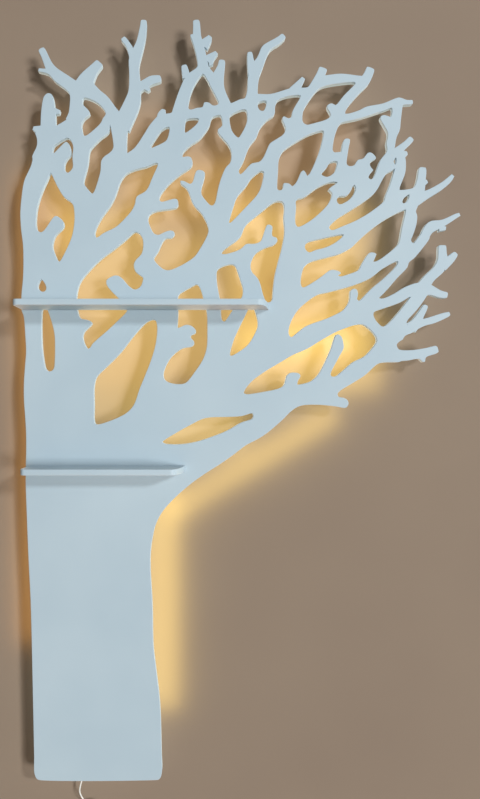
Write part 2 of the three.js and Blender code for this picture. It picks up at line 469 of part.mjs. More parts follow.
const RIGHT_OPENINGS = {
  highFlame: [
    [628, 1807], [623, 1780], [617, 1750], [603, 1716], [588, 1686], [583, 1682], [579, 1690],
    [573, 1697], [566, 1693], [559, 1680], [554, 1667], [541, 1653], [533, 1660], [517, 1661],
    [516, 1652], [512, 1643], [501, 1643], [500, 1660], [502, 1700], [505, 1730], [518, 1753],
    [548, 1774], [580, 1793], [610, 1804],
  ],
  highPebble: [
    [666, 1722], [663, 1703], [656, 1689], [638, 1679], [623, 1686], [638, 1706], [645, 1718],
    [655, 1722],
  ],
  rightLeaf: [
    [667, 1663], [652, 1652], [642, 1644], [652, 1633], [642, 1605], [614, 1575], [584, 1552],
    [556, 1540], [550, 1551], [552, 1585], [553, 1615], [573, 1622], [599, 1642], [628, 1657],
    [650, 1665],
  ],
  rightBean: [
    [714, 1657], [718, 1645], [705, 1621], [690, 1609], [672, 1603], [665, 1613], [672, 1625],
    [690, 1626], [702, 1636], [708, 1650],
  ],
  rightSliver: [
    [684, 1518], [669, 1502], [640, 1485], [605, 1475], [588, 1469], [577, 1480], [580, 1494],
    [601, 1503], [640, 1511],
  ],
  rightLowFork: [
    [835, 1444], [815, 1437], [787, 1419], [760, 1398], [727, 1383], [687, 1370], [646, 1359],
    [612, 1351], [582, 1331], [554, 1304], [536, 1271], [531, 1245], [537, 1233], [558, 1248],
    [582, 1265], [618, 1277], [655, 1293], [685, 1310], [700, 1333], [702, 1351], [704, 1363],
    [714, 1368], [722, 1364], [724, 1350], [722, 1338], [727, 1334], [745, 1353], [774, 1378],
    [802, 1402], [834, 1436],
  ],
  rightMiddleFork: [
    [857, 1588], [852, 1567], [845, 1530], [841, 1505], [834, 1489], [815, 1472], [781, 1447],
    [767, 1443], [772, 1455], [776, 1464], [763, 1469], [754, 1466], [738, 1443], [725, 1419],
    [707, 1411], [675, 1402], [669, 1404], [677, 1411], [670, 1417], [657, 1420], [646, 1419],
    [625, 1402], [595, 1385], [570, 1371], [565, 1381], [566, 1400], [574, 1427], [590, 1441],
    [633, 1454], [668, 1463], [708, 1484], [736, 1511], [772, 1541], [813, 1568], [847, 1584],
  ],
  rightHighFork: [
    [827, 1703], [823, 1688], [811, 1652], [800, 1625], [797, 1613], [783, 1601], [745, 1571],
    [715, 1556], [680, 1541], [650, 1531], [644, 1538], [663, 1560], [697, 1582], [735, 1606],
    [772, 1636], [786, 1660], [802, 1686], [812, 1694], [821, 1697],
  ],
  edgePip: [
    [830, 1733], [831, 1724], [828, 1713], [823.5, 1721],
  ],
  edgePebble: [
    [867, 1630], [863, 1615], [852, 1605], [847, 1609], [855, 1623],
  ],
  edgeWedge: [
    [871, 1345], [857, 1325], [832, 1297], [811, 1273], [794, 1262], [783, 1269], [769, 1288],
    [768, 1301], [800, 1314], [843, 1330],
  ],
  highTwigs: [
    [818, 1871], [818, 1853], [815, 1846], [808, 1848], [797, 1851], [788, 1848], [786, 1842],
    [795, 1825], [806, 1804], [807, 1792], [803, 1772], [805, 1752], [797, 1739], [786, 1725],
    [777, 1699], [767, 1678], [760, 1672], [753, 1678], [758, 1687], [767, 1698], [758, 1710],
    [758, 1718], [767, 1726], [775, 1731], [768, 1741], [760, 1747], [752, 1746], [744, 1735],
    [736, 1729], [724, 1726], [714, 1712], [700, 1709], [693, 1715], [695, 1740], [700, 1770],
    [702, 1783], [693, 1786], [686, 1783], [680, 1765], [677, 1749], [667, 1748], [657, 1748],
    [654, 1753], [656, 1777], [663, 1804], [670, 1820], [679, 1830], [700, 1834], [726, 1841],
    [765, 1853], [803, 1866],
  ],
  highCrescent: [
    [717, 1941], [700, 1922], [679, 1899], [662, 1879], [657, 1882], [649, 1883.5], [638, 1877],
    [641, 1865], [648, 1852], [643, 1843], [628, 1836], [602, 1829], [583, 1824], [572, 1830],
    [569, 1843], [574, 1867], [587, 1887], [600, 1908], [617, 1925], [640, 1934], [680, 1940],
  ],
  lowSweep: [
    [406, 1077], [424, 1105], [458, 1132], [509, 1163], [543, 1183], [584, 1201], [620, 1223],
    [653, 1242], [697, 1261], [735, 1268.5], [755, 1257], [774, 1235], [777, 1222], [766, 1204],
    [742, 1179], [712, 1164], [691, 1147], [665, 1125], [652, 1123], [648, 1129], [659, 1154],
    [676, 1186], [685, 1204], [683, 1218], [680, 1231], [672, 1240], [663, 1239], [657, 1224],
    [646, 1192], [630, 1157], [611, 1125], [590, 1108.5], [562, 1101], [555, 1101], [557, 1111],
    [564, 1124], [561, 1131], [551, 1134], [535, 1133], [526, 1125], [522, 1109], [514, 1095],
    [494, 1087], [452, 1079], [413, 1074],
  ],
};

// A quarter circle in four chords that rounds the foot's corner, from angle to angle.
function footCorner(centreX, fromAngle, toAngle) {
  const radius = TRUNK_FOOT.cornerRadius;
  const arc = new THREE.EllipseCurve(centreX, radius, radius, radius, fromAngle, toAngle, true);
  return arc.getPoints(4).map((p) => [p.x, p.y]);
}

function trunkAndCrown() {
  const { left, right, cornerRadius } = TRUNK_FOOT;
  return thinOut([
    ...footCorner(left + cornerRadius, 1.5 * Math.PI, Math.PI),
    ...smoothRun(TRUNK_LEFT),
    ...smoothRun(CROWN_TOP_LEFT),
    ...smoothRun(CROWN_TOP_MIDDLE),
    ...smoothRun(CROWN_TOP_RIGHT),
    ...smoothRun(CROWN_RIGHT),
    ...smoothRun(CROWN_LOWER_RIGHT),
    ...smoothRun(TRUNK_RIGHT),
    ...footCorner(right - cornerRadius, 0, -0.5 * Math.PI),
  ]);
}

// ---------------------------------------------------------------- sub-parts

const parts = new THREE.Group();
parts.name = 'tree_wall_shelf';

function add(name, geometry, material) {
  const plain = geometry.index ? geometry.toNonIndexed() : geometry;
  const mesh = new THREE.Mesh(plain, material);
  mesh.name = name;
  parts.add(mesh);
}

// A straight hole or pin along y, from one y to another.
function rod(x, z, radius, fromY, toY, sides = 12) {
  const low = Math.min(fromY, toY);
  const high = Math.max(fromY, toY);
  return turned([[0, low], [radius, low], [radius, high], [0, high]], sides).translate(x, 0, z);
}

const SHELF_SCREW = { radius: 2.2, length: 50 };
const CLEAT_SCREW = { radius: 2.5, length: 58 };
const WALL_SCREW = { radius: 3, length: 49 };
const HEAD_RATIO = 1.9; // a countersunk head's radius over its shank's
const LEAD_IN = 4; // a screw hole stays open this far above the head
const TOWARDS_WALL = 1;
const TOWARDS_ROOM = -1;

// Turns a [radius, distance] section whose distances run from headY in the screw's own direction.
function screwTurning(section, x, z, headY, way) {
  const profile = section.map(([r, distance]) => [r, headY + way * distance]);
  return turned(way === TOWARDS_WALL ? profile : profile.reverse(), 10).translate(x, 0, z);
}

// A countersunk wood screw along y with its head at headY.
function screw(x, z, headY, { length, radius }, way) {
  const head = HEAD_RATIO * radius;
  const pointStart = length - 3 * radius;
  const point = 0.3 * radius;
  const section = [[0, 0], [head, 0], [radius, head], [radius, pointStart], [point, length], [0, length]];
  return screwTurning(section, x, z, headY, way);
}

// The hole for that screw, a little wider all round, open above its head.
function screwHole(x, z, headY, { length, radius }, way) {
  const head = HEAD_RATIO * radius + GAP;
  const shank = radius + GAP;
  const end = length + 1;
  const section = [[0, -LEAD_IN], [head, -LEAD_IN], [head, 0], [shank, head], [shank, end], [0, end]];
  return screwTurning(section, x, z, headY, way);
}

function shelfScrewHoles({ top, screws }) {
  return screws.map((x) => screwHole(x, top - BOARD / 2, BACK - GAP, SHELF_SCREW, TOWARDS_ROOM));
}

// Both halves of a French cleat are ripped at 45 degrees from timber as thick as the stand-off.
const CLEAT_SCREW_HEAD = -3; // y of the heads of the screws that hold the panel's cleat half
const MAIN_CLEAT = {
  left: -72,
  right: 158,
  wallBottom: 762,
  bevelTop: 860,
  panelTop: 930,
  panelScrews: [-40, 125],
  wallScrews: [-45, 130],
};
const CROWN_CLEAT = {
  left: 504,
  right: 540,
  wallBottom: 1290,
  bevelTop: 1362,
  panelTop: 1420,
  panelScrews: [522],
  wallScrews: [522],
};

// Where a cleat's screws go into the panel: in the upper part of its panel half.
function cleatScrewPlaces({ panelScrews, panelTop, bevelTop }) {
  const z = panelTop - 0.28 * (panelTop - bevelTop);
  return panelScrews.map((x) => [x, z]);
}

function cleatScrewHoles(cleat) {
  const places = cleatScrewPlaces(cleat);
  return places.map(([x, z]) => screwHole(x, z, CLEAT_SCREW_HEAD, CLEAT_SCREW, TOWARDS_ROOM));
}

function treePanel() {
  const limbs = [TOP_LEFT_LIMBS, TOP_MIDDLE_LIMBS, TOP_RIGHT_LIMBS, RIGHT_LIMBS, LOWER_RIGHT_LIMBS].flat();
  const outlines = [trunkAndCrown(), ...limbs.map(limbOutline)];
  const wood = join(outlines.map((outline) => slab(outline, BACK, FRONT)));
  const loops = [LEFT_OPENINGS, MIDDLE_OPENINGS, RIGHT_OPENINGS].flatMap((group) => Object.values(group));
  const [cutFrom, cutTo] = [BACK + OPENING_OVERCUT, FRONT - OPENING_OVERCUT];
  const openings = loops.map((corners) => slab(smoothLoop(corners), cutFrom, cutTo));
  const screwHoles = [
    ...shelfScrewHoles(UPPER_SHELF),
    ...shelfScrewHoles(LOWER_SHELF),
    ...cleatScrewHoles(MAIN_CLEAT),
    ...cleatScrewHoles(CROWN_CLEAT),
  ];
  const holes = [...openings, ...screwHoles].map(toSolid);
  add('tree_panel', toGeometry(holes.reduce((body, hole) => body.subtract(hole), wood)), look.paint());
}

// A shelf seen from above: square against the board, its free right corner swept in a curve.
function shelf(name, place) {
  const { top, left, rightBack, rightFront } = place;
  const back = FRONT - GAP;
  const front = FRONT - SHELF_DEPTH;
  const corner = SHELF_CORNER;
  const sweep = { before: 16, lean: 4, high: 16, out: 12, end: 40 }; // the free corner's curve
  const shape = new THREE.Shape();
  shape.moveTo(left, back);
  shape.lineTo(left, front + corner);
  shape.absarc(left + corner, front + corner, corner, Math.PI, 1.5 * Math.PI, false);
  shape.lineTo(rightFront - sweep.before, front);
  const first = [rightFront, front];
  const second = [rightFront + sweep.lean, front + sweep.high];
  shape.bezierCurveTo(...first, ...second, rightFront + sweep.out, front + sweep.end);
  shape.lineTo(rightBack, back);
  shape.closePath();
  const board = plate(shape, top - BOARD, BOARD, 10);
  add(name, cut(board, shelfScrewHoles(place)), look.paint());
}

function shelfScrews(name, { top, screws }) {
  screws.forEach((x, i) => {
    const body = screw(x, top - BOARD / 2, BACK - GAP, SHELF_SCREW, TOWARDS_ROOM);
    add(`${name}_screw_${i + 1}`, body, look.steel());
  });
}

function cleats(name, cleat) {
  const { left, right, wallBottom, bevelTop, panelTop } = cleat;
  const thick = STAND_OFF - GAP;
  const wallSection = [[0, wallBottom], [0, bevelTop - thick], [-thick, bevelTop], [-thick, wallBottom]];
  const lift = GAP * Math.SQRT2; // a gap measured square to the 45 degree faces
  const panelSection = [
    [-GAP, bevelTop - thick + GAP + lift], [-GAP, panelTop], [-thick, panelTop], [-thick, bevelTop + lift],
  ];
  const wallZ = wallBottom + 0.45 * (bevelTop - thick - wallBottom);
  const wallHeadY = -thick + GAP;
  const wallHoles = cleat.wallScrews.map((x) => screwHole(x, wallZ, wallHeadY, WALL_SCREW, TOWARDS_WALL));
  add(`${name}_wall_cleat`, cut(bar(wallSection, left, right), wallHoles), look.timber());
  cleat.wallScrews.forEach((x, i) => {
    const body = screw(x, wallZ, wallHeadY, WALL_SCREW, TOWARDS_WALL);
    add(`${name}_wall_screw_${i + 1}`, body, look.steel());
  });
  add(`${name}_panel_cleat`, cut(bar(panelSection, left, right), cleatScrewHoles(cleat)), look.timber());
  cleatScrewPlaces(cleat).forEach(([x, z], i) => {
    const body = screw(x, z, CLEAT_SCREW_HEAD, CLEAT_SCREW, TOWARDS_ROOM);
    add(`${name}_panel_screw_${i + 1}`, body, look.steel());
  });
}

// Round timber blocks glued to the board's back that rest against the wall.
function spacers() {
  const blocks = {
    foot_left: [-120, 66, 22],
    foot_right: [112, 66, 22],
    crown_left: [-104, 1400, 20],
    crown_top: [367, 1660, 18],
    crown_middle: [555, 1507, 18],
    crown_right: [812, 1206, 14],
  };
  for (const [place, [x, z, radius]] of Object.entries(blocks)) {
    add(`spacer_${place}`, rod(x, z, radius, BACK + GAP, -GAP, 20), look.timber());
  }
}

// A light bar is an aluminium channel with an LED strip in it and a diffuser across its mouth.
const LIGHT_BAR = { width: 14, height: 8, wall: 1.4, strip: 8, stripThickness: 1.4, diffuser: 1.2 };
// Each bar stands upright: its x, its bottom and its top.
const LIGHT_BARS = {
  trunk: [118, 200, 655],
  left: [-82, 1000, 1288],
  middle: [337, 1112, 1258],
  right: [490, 1176, 1308],
};

function lightBar(place, [x, bottom, top]) {
  const { width, height, wall, strip, stripThickness, diffuser } = LIGHT_BAR;
  const back = BACK + GAP;
  const mouth = back + height;
  const outside = block(x - width / 2, x + width / 2, back, mouth, bottom, top);
  const hollow = width / 2 - wall;
  const inside = block(x - hollow, x + hollow, back + wall, mouth + 1, bottom - 1, top + 1);
  add(`light_channel_${place}`, cut(outside, [inside]), look.aluminium());
  const tape = back + wall + GAP;
  const tapeBody = block(x - strip / 2, x + strip / 2, tape, tape + stripThickness, bottom + 2, top - 2);
  add(`led_strip_${place}`, tapeBody, look.led());
  const half = hollow - GAP;
  const cover = block(x - half, x + half, mouth - diffuser, mouth, bottom, top);
  add(`light_diffuser_${place}`, cover, look.diffuser());
}

const WIRE = { diameter: 3, y: BACK + GAP + 1.7 };
// The wires run from the box to the trunk's bar and on from bar to bar, as [x, z] places.
const WIRES = {
  1: [[24, 100], [60, 104], [104, 130], [117, 160], [118, 199]],
  2: [
    [118, 656], [116, 682], [92, 700], [20, 706], [-70, 708], [-106, 740], [-114, 830], [-106, 930],
    [-86, 970], [-83, 999],
  ],
  3: [
    [-79, 999], [-70, 972], [-30, 958], [50, 962], [120, 985], [180, 1028], [262, 1052], [322, 1070],
    [335, 1090], [336, 1111],
  ],
  4: [[340, 1111], [348, 1098], [366, 1104], [400, 1132], [442, 1154], [476, 1160], [488, 1166], [490, 1175]],
};

function linkWires() {
  for (const [number, route] of Object.entries(WIRES)) {
    const points = route.map(([x, z]) => [x, WIRE.y, z]);
    add(`link_wire_${number}`, cable(points, WIRE.diameter, 3 * route.length), look.whiteCord());
  }
}

const BOX = { left: -70, right: 22, bottom: 46, top: 128, depth: 24, wall: 2, lid: 2 };

// The box on the panel's back where the cord comes in, its lid towards the wall.
function junctionBox() {
  const { left, right, bottom, top, depth, wall, lid } = BOX;
  const back = BACK + GAP;
  const mouth = back + depth;
  const outside = block(left, right, back, mouth, bottom, top);
  const inside = block(left + wall, right - wall, back + wall, mouth + 1, bottom + wall, top - wall);
  const [cordX, cordY] = CORD.upper[0];
  const cordWay = upright(cordX, cordY, CORD.diameter / 2 + GAP, bottom - 1, bottom + wall + 1);
  const [, wireZ] = WIRES[1][0];
  const wireWay = block(right - wall - 1, right + 1, WIRE.y - 2, WIRE.y + 2, wireZ - 2, wireZ + 2);
  add('light_box', cut(outside, [inside, cordWay, wireWay]), look.whitePlastic());
  const cover = block(left, right, mouth + GAP, mouth + GAP + lid, bottom, top);
  add('light_box_lid', cover, look.whitePlastic());
}

// ---------------------------------------------------------------- cord, switch and adaptor

const CORD = {
  diameter: 4,
  upper: [
    [-46, -36, 53], [-46, -36, 30], [-46, -32, 8], [-49, -29, -14], [-55, -27, -36], [-58, -26, -56],
    [-54, -22, -72], [-49, -16, -86], [-46, -14, -95], [-46, -14, -99],
  ],
  middle: [[-46, -14, -147], [-46, -14, -153], [-46, -14, -159]],
  lower: [[-46, -14, -189], [-46, -14, -201], [-46, -14, -214]],
};
const SLEEVE = { wide: 4.2, narrow: 3.2, length: 13 }; // radii and length of a strain relief
const COIL = { centre: [-22, -14, -123], turn: 24, bundle: 6.8 };
const TIE = { clearance: 0.9, thickness: 1, width: 5 };
const SWITCH = { x: -46, y: -14, bottom: -193, top: -155, width: 22, depth: 14, wall: 1.6 };
const WINDOW = { halfWidth: 4.9, halfHeight: 9.2, back: 3 }; // the switch's opening for its rocker
const ROCKER = { width: 9, length: 16.4, pivotY: -18, tilt: THREE.MathUtils.degToRad(8) };
const ROCKER_FACE = { back: 1.6, ends: -4.4, middle: -3.2 }; // y from the pivot, the face dished
const AXLE = { radius: 1, overhang: 2 }; // how far the rocker's pins stand out on each side
const ADAPTOR = { x: -46, y: -14, bottom: -253, top: -208, width: 40, depth: 26, wall: 1.8 };
const PIN = { radius: 2, apart: 19, inside: 6, outside: 16 };

// A tapered sleeve round the cord where it enters a housing; its wide end is at z.
function strainRelief(name, x, y, z, way) {
  const bore = CORD.diameter / 2 + GAP;
  const { wide, narrow, length } = SLEEVE;
  const section = [[bore, 0], [wide, 0], [narrow, length], [bore, length], [bore, 0]];
  const profile = section.map(([r, h]) => [r, way * h]);
  const sleeve = turned(way > 0 ? profile : profile.reverse(), 12).rotateX(Math.PI / 2);
  add(name, sleeve.translate(x, y, z + way * GAP), look.whitePlastic());
}

function leads() {
  add('cord_lead_upper', cable(CORD.upper, CORD.diameter, 24), look.whiteCord());
  add('cord_lead_middle', cable(CORD.middle, CORD.diameter, 4), look.whiteCord());
  add('cord_lead_lower', cable(CORD.lower, CORD.diameter, 6), look.whiteCord());
}

// The spare cord, put away as a round coil that hangs flat against the wall.
function coil() {
  const { centre: [x, y, z], turn, bundle } = COIL;
  const sides = 8;
  const profile = [];
  for (let i = 0; i <= sides; i += 1) {
    const angle = (2 * Math.PI * (i % sides)) / sides;
    profile.push([turn + bundle * Math.cos(angle), bundle * Math.sin(angle)]);
  }
  add('cord_coil', turned(profile, 24).translate(x, y, z), look.whiteCord());
  const half = TIE.width / 2;
  const inner = bundle + TIE.clearance;
  const outer = inner + TIE.thickness;
  const band = turned([[inner, -half], [outer, -half], [outer, half], [inner, half], [inner, -half]], 12);
  add('coil_tie', band.rotateX(Math.PI / 2).translate(x + turn, y, z), look.greyPlastic());
}

// One half of a split housing: a tray open towards the split at splitY.
function halfHousing(part, splitY, side) {
  const { x, width, bottom, top, depth, wall } = part;
  const near = splitY + side * (GAP / 2);
  const far = splitY + side * (depth / 2);
  const [y0, y1] = [Math.min(near, far), Math.max(near, far)];
  const outside = block(x - width / 2, x + width / 2, y0, y1, bottom, top);
  const floor = far - side * wall;
  const [i0, i1] = [Math.min(floor, splitY - side), Math.max(floor, splitY - side)];
  const inside = block(x - width / 2 + wall, x + width / 2 - wall, i0, i1, bottom + wall, top - wall);
  return [outside, inside];
}

// An upright bore through a housing's end wall, for a cord or a pin.
function upright(x, y, radius, z0, z1, sides = 12) {
  const cylinder = new THREE.CylinderGeometry(radius, radius, z1 - z0, sides);
  return cylinder.rotateX(Math.PI / 2).translate(x, y, (z0 + z1) / 2);
}

function rockerSwitch() {
  const { x, y, bottom, top, wall } = SWITCH;
  const bore = upright(x, y, CORD.diameter / 2 + GAP, bottom - 1, top + 1);
  const [lower, lowerRoom] = halfHousing(SWITCH, y, 1);
  add('switch_bottom', cut(lower, [lowerRoom, bore]), look.whitePlastic());
  const [upper, upperRoom] = halfHousing(SWITCH, y, -1);
  const middle = (bottom + top) / 2;
  const { halfWidth, halfHeight, back: windowBack } = WINDOW;
  const low = middle - halfHeight;
  const high = middle + halfHeight;
  const window = block(x - halfWidth, x + halfWidth, y - SWITCH.depth, y - windowBack, low, high);
  add('switch_top', cut(upper, [upperRoom, bore, window]), look.whitePlastic());
  const { width, length, pivotY, tilt } = ROCKER;
  const { back, ends, middle: dish } = ROCKER_FACE;
  const section = new THREE.Shape();
  section.moveTo(back, -length / 2);
  section.lineTo(back, length / 2);
  section.lineTo(ends, length / 2);
  section.quadraticCurveTo(dish, 0, ends, -length / 2);
  section.closePath();
  const outline = section.getPoints(5).map((p) => [p.x, p.y]);
  const body = bar(outline, -width / 2, width / 2);
  const axle = new THREE.CylinderGeometry(AXLE.radius, AXLE.radius, width + 2 * AXLE.overhang, 10);
  axle.rotateZ(Math.PI / 2);
  const rocker = toGeometry(join([body, axle])).rotateX(-tilt).translate(x, pivotY, middle);
  add('switch_rocker', rocker, look.greyPlastic());
}

function adaptor() {
  const { x, y, bottom, top } = ADAPTOR;
  const cordBore = upright(x, y, CORD.diameter / 2 + GAP, top - 4, top + 1);
  const pinPlaces = [x - PIN.apart / 2, x + PIN.apart / 2];
  const pinBores = pinPlaces.map((place) => upright(place, y, PIN.radius + GAP, bottom - 1, bottom + 4));
  for (const [name, side] of [['adaptor_front', -1], ['adaptor_back', 1]]) {
    const [outside, inside] = halfHousing(ADAPTOR, y, side);
    add(name, cut(outside, [inside, cordBore, ...pinBores]), look.whitePlastic());
  }
  pinPlaces.forEach((place, i) => {
    const pin = upright(place, y, PIN.radius, bottom - PIN.outside, bottom + PIN.inside);
    add(`adaptor_pin_${i + 1}`, pin, look.steel());
  });
}

// ---------------------------------------------------------------- the whole object

treePanel();
shelf('upper_shelf', UPPER_SHELF);
shelf('lower_shelf', LOWER_SHELF);
shelfScrews('upper_shelf', UPPER_SHELF);
shelfScrews('lower_shelf', LOWER_SHELF);
cleats('main', MAIN_CLEAT);
cleats('crown', CROWN_CLEAT);
spacers();
Object.entries(LIGHT_BARS).forEach(([place, run]) => lightBar(place, run));
linkWires();
junctionBox();
strainRelief('box_strain_relief', CORD.upper[0][0], CORD.upper[0][1], BOX.bottom, -1);
leads();
coil();
rockerSwitch();
strainRelief('adaptor_strain_relief', ADAPTOR.x, ADAPTOR.y, ADAPTOR.top, 1);
adaptor();

// The origin is the middle of the main wall cleat's back face.
const cleatBackTop = MAIN_CLEAT.bevelTop - (STAND_OFF - GAP);
const originX = (MAIN_CLEAT.left + MAIN_CLEAT.right) / 2;
const originZ = (MAIN_CLEAT.wallBottom + cleatBackTop) / 2;
for (const mesh of parts.children) mesh.geometry.translate(-originX, 0, -originZ);

export default parts;
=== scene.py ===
# Looks for the back-lit tree wall shelf: painted board, timber, LED bars, cord and wall.
import json
import math

import bmesh
import bpy
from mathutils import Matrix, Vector
from mathutils.geometry import delaunay_2d_cdt


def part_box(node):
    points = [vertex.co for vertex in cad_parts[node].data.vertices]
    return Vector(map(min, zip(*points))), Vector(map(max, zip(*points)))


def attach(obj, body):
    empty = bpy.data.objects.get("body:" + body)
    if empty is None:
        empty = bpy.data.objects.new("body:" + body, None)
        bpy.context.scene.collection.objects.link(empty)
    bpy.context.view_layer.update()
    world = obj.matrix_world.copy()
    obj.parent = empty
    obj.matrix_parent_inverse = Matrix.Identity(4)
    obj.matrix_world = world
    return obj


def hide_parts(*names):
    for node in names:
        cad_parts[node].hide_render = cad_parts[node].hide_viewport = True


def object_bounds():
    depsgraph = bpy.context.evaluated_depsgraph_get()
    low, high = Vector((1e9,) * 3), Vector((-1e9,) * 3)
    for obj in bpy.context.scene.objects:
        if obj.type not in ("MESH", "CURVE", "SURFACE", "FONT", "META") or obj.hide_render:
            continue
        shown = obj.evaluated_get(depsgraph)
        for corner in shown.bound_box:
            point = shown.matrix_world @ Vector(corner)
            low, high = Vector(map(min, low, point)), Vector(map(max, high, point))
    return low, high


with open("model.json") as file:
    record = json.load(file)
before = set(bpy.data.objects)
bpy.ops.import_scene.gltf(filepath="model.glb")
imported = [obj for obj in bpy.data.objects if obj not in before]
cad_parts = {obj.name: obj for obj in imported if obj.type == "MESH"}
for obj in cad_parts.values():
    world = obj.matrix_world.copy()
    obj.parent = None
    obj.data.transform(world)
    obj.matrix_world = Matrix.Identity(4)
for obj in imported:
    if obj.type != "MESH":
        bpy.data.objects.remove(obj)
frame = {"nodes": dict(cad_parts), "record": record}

cad_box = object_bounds()

# Places are given in the tree's own millimetres, as the CAD source gives them: x to the right
# and z up from the middle of the trunk's foot, and y negative from the wall into the room.
ROW_ORIGIN = Vector((43.0, 0.0, 786.15))  # the middle of the main wall cleat's back face
MM = 0.001


def at(x, y, z):
    """A place in tree millimetres as a place in the row's metres."""
    return (Vector((x, y, z)) - ROW_ORIGIN) * MM


# ---------------------------------------------------------------- camera

# The camera is level and square to the wall. Its place, lens and shift were fitted to the photo.
CAMERA_PLACE = (283.6, -1826, 1059.2)
CAMERA_LENS = 28.5
CAMERA_SHIFT = 0.05045
LEVEL_AT_WALL = (math.pi / 2, 0, 0)


def make_camera():
    data = bpy.data.cameras.new("camera")
    data.sensor_width = 36
    data.lens = CAMERA_LENS
    data.shift_x = CAMERA_SHIFT
    camera = bpy.data.objects.new("camera", data)
    camera.location = at(*CAMERA_PLACE)
    camera.rotation_euler = LEVEL_AT_WALL
    bpy.context.collection.objects.link(camera)
    bpy.context.scene.camera = camera


# ---------------------------------------------------------------- node materials

class Nodes:
    """A short way to build one material's node tree."""

    def __init__(self, name):
        self.material = bpy.data.materials.new(name)
        self.material.use_nodes = True
        self.tree = self.material.node_tree
        self.shader = self.tree.nodes["Principled BSDF"]
        self.place = self.add("ShaderNodeTexCoord").outputs["Object"]

    def add(self, kind, inputs=None, **settings):
        node = self.tree.nodes.new(kind)
        for name, value in settings.items():
            setattr(node, name, value)
        for name, value in (inputs or {}).items():
            self.feed(node.inputs[name], value)
        return node

    def feed(self, socket, value):
        if isinstance(value, bpy.types.NodeSocket):
            self.tree.links.new(value, socket)
        else:
            socket.default_value = value

    def set(self, **values):
        for name, value in values.items():
            self.feed(self.shader.inputs[name.replace("_", " ")], value)

    def noise(self, scale, detail=3.0, stretch=None):
        place = self.place
        if stretch:
            place = self.add("ShaderNodeMapping", {"Vector": place, "Scale": stretch}).outputs["Vector"]
        inputs = {"Vector": place, "Scale": scale, "Detail": detail, "Roughness": 0.55}
        return self.add("ShaderNodeTexNoise", inputs).outputs["Fac"]

    def ramp(self, value, stops):
        node = self.add("ShaderNodeValToRGB", {"Fac": value})
        elements = node.color_ramp.elements
        while len(elements) < len(stops):
            elements.new(0.5)
        for element, (place, color) in zip(elements, stops):
            element.position = place
            element.color = (*color, 1)
        return node.outputs["Color"]

    def spread(self, value, low, high):
        inputs = {"Value": value, "To Min": low, "To Max": high}
        return self.add("ShaderNodeMapRange", inputs).outputs["Result"]

    def bump(self, height, strength, distance):
        inputs = {"Height": height, "Strength": strength, "Distance": distance}
        return self.add("ShaderNodeBump", inputs).outputs["Normal"]


def linear(red, green, blue):
    """An 8-bit screen colour as linear light."""
    def one(value):
        value = value / 255
        return value / 12.92 if value <= 0.04045 else ((value + 0.055) / 1.055) ** 2.4
    return (one(red), one(green), one(blue))


def painted_board():
    """Roller-painted MDF in eggshell pale blue-grey."""
    n = Nodes("painted_board")
    cloudy = n.noise(3.5, 2)
    n.set(Base_Color=n.ramp(cloudy, [(0.35, linear(178, 196, 207)), (0.65, linear(184, 201, 211))]))
    stipple = n.noise(900, 2)
    n.set(Roughness=n.spread(n.noise(60), 0.5, 0.62))
    n.set(Normal=n.bump(stipple, 0.12, 0.0004))
    return n.material


def sawn_timber():
    n = Nodes("sawn_timber")
    grain = n.noise(260, 5, (0.06, 1.0, 1.0))
    colors = [(0.3, linear(176, 136, 88)), (0.5, linear(203, 166, 116)), (0.72, linear(216, 183, 135))]
    n.set(Base_Color=n.ramp(grain, colors), Roughness=n.spread(grain, 0.82, 0.66))
    n.set(Normal=n.bump(grain, 0.35, 0.0006))
    return n.material


def zinc_steel():
    n = Nodes("zinc_steel")
    blotch = n.noise(500, 3)
    n.set(Base_Color=n.ramp(blotch, [(0.3, linear(176, 176, 170)), (0.7, linear(205, 204, 198))]))
    n.set(Metallic=1.0, Roughness=n.spread(blotch, 0.3, 0.45))
    return n.material


def satin_aluminium():
    n = Nodes("satin_aluminium")
    brushed = n.noise(900, 2, (1.0, 1.0, 0.02))
    n.set(Base_Color=n.ramp(brushed, [(0.3, linear(196, 199, 203)), (0.7, linear(222, 224, 226))]))
    n.set(Metallic=1.0, Roughness=n.spread(brushed, 0.32, 0.44))
    n.set(Normal=n.bump(brushed, 0.08, 0.0002))
    return n.material


def moulded_plastic(name, low, high, roughness):
    n = Nodes(name)
    n.set(Base_Color=n.ramp(n.noise(40, 2), [(0.3, linear(*low)), (0.7, linear(*high))]))
    texture = n.noise(1600, 2)
    n.set(Roughness=n.spread(texture, roughness - 0.05, roughness + 0.05))
    n.set(Normal=n.bump(texture, 0.08, 0.0002))
    return n.material


def glowing(name, color, strength):
    n = Nodes(name)
    n.set(Base_Color=n.ramp(n.noise(120, 1), [(0.3, linear(236, 232, 218)), (0.7, linear(248, 246, 236))]))
    n.set(Roughness=0.5, Emission_Color=(*color, 1), Emission_Strength=strength)
    return n.material


def clear_from_behind(n):
    """Makes a stage surface clear from its back, so that the tree's back can be looked at."""
    clear = n.add("ShaderNodeBsdfTransparent").outputs["BSDF"]
    side = n.add("ShaderNodeNewGeometry").outputs["Backfacing"]
    mix = n.add("ShaderNodeMixShader", {"Fac": side})
    n.feed(mix.inputs[1], n.shader.outputs["BSDF"])
    n.feed(mix.inputs[2], clear)
    n.feed(n.tree.nodes["Material Output"].inputs["Surface"], mix.outputs["Shader"])
    return n.material


def wall_paint():
    """Greige emulsion."""
    n = Nodes("wall_paint")
    n.set(Base_Color=n.ramp(n.noise(1.7, 2), [(0.3, linear(139, 121, 105)), (0.7, linear(144, 126, 109))]))
    n.set(Roughness=0.85, Normal=n.bump(n.noise(420, 2), 0.1, 0.0004))
    return clear_from_behind(n)


